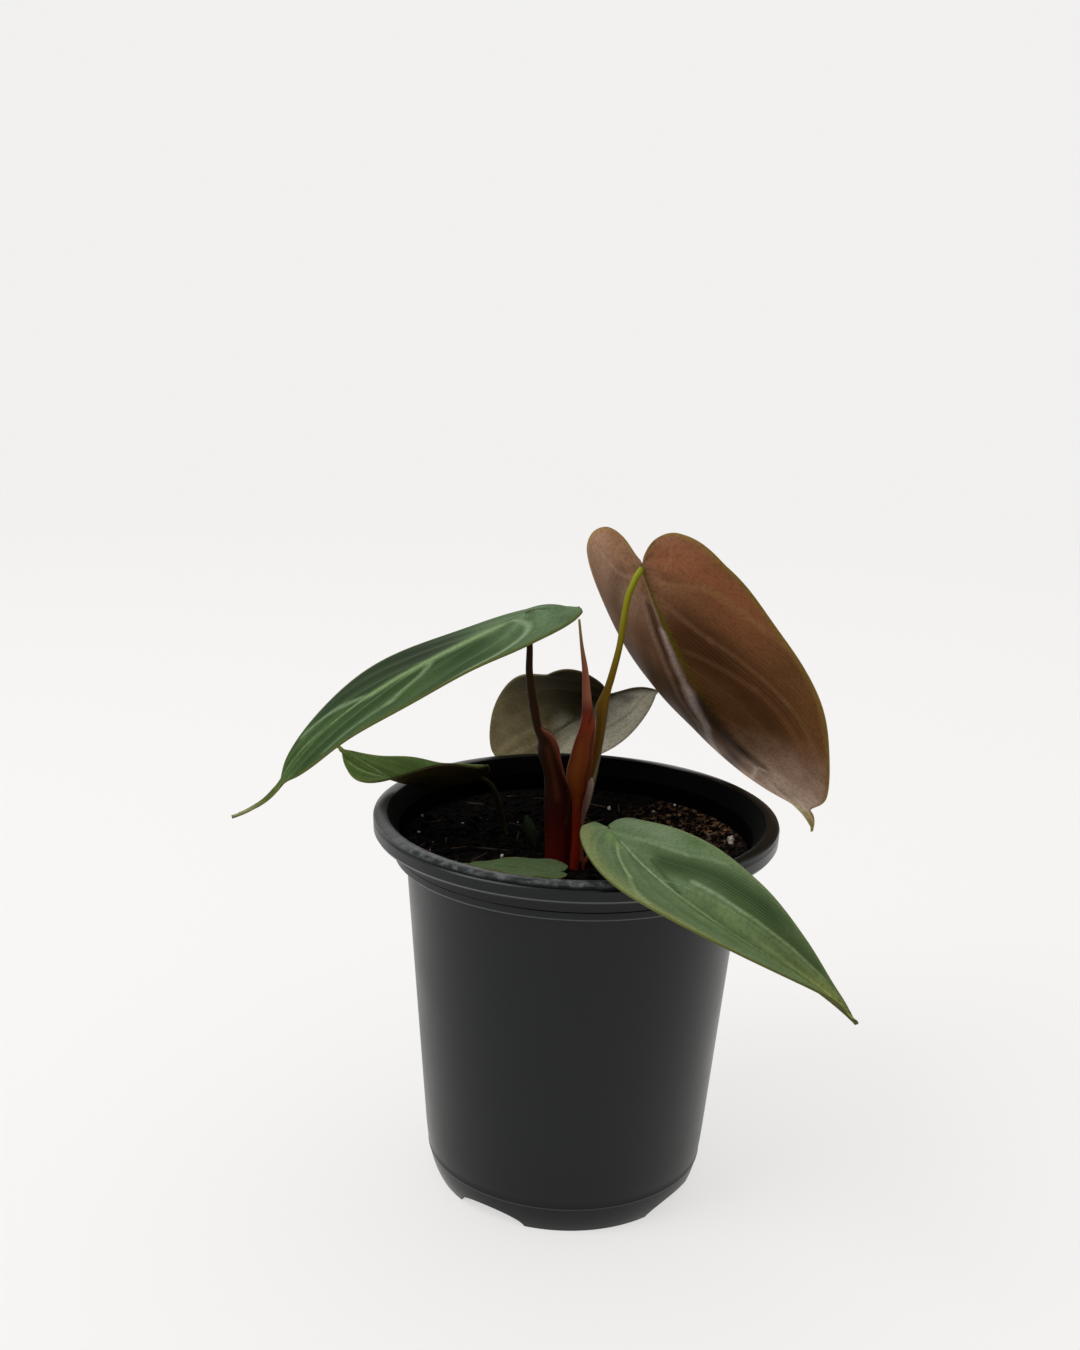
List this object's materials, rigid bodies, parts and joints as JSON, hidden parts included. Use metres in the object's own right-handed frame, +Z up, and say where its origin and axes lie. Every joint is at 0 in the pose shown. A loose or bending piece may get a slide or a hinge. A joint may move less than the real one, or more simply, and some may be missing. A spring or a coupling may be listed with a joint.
{
  "type": "potted el choco red philodendron",
  "caption": "Young el choco red philodendron with velvety heart-shaped leaves on bare stalks, standing in soil in a round dark moulded nursery pot",
  "frame": {"origin": "on the plane under the pot's feet, below the middle of the whole plant's box, 10 mm to the left of the pot's own axis as seen from the front", "axes": "+Z up; -Y towards the front, where the picture was taken from; +X to the right as seen from the front"},
  "size_m": [0.1578, 0.1658, 0.1775],
  "materials": {
    "pot": "satin",
    "soil": "matte",
    "root": "matte",
    "leaf": "velvety",
    "stalk": "satin",
    "sheath": "satin"
  },
  "bodies": {
    "root": {"pot": "pot", "soil": "soil", "crown": "root", "leaf_upper_right": "leaf", "stalk_upper_right": "stalk", "leaf_upper_left": "leaf", "stalk_upper_left": "stalk", "leaf_back": "leaf", "stalk_back": "stalk", "leaf_left": "leaf", "stalk_left": "stalk", "leaf_front": "leaf", "stalk_front": "stalk", "leaf_small": "leaf", "stalk_small": "stalk", "leaf_sprout": "leaf", "sheath_new_leaf": "sheath", "scale_side": "sheath"}
  },
  "joints": []
}
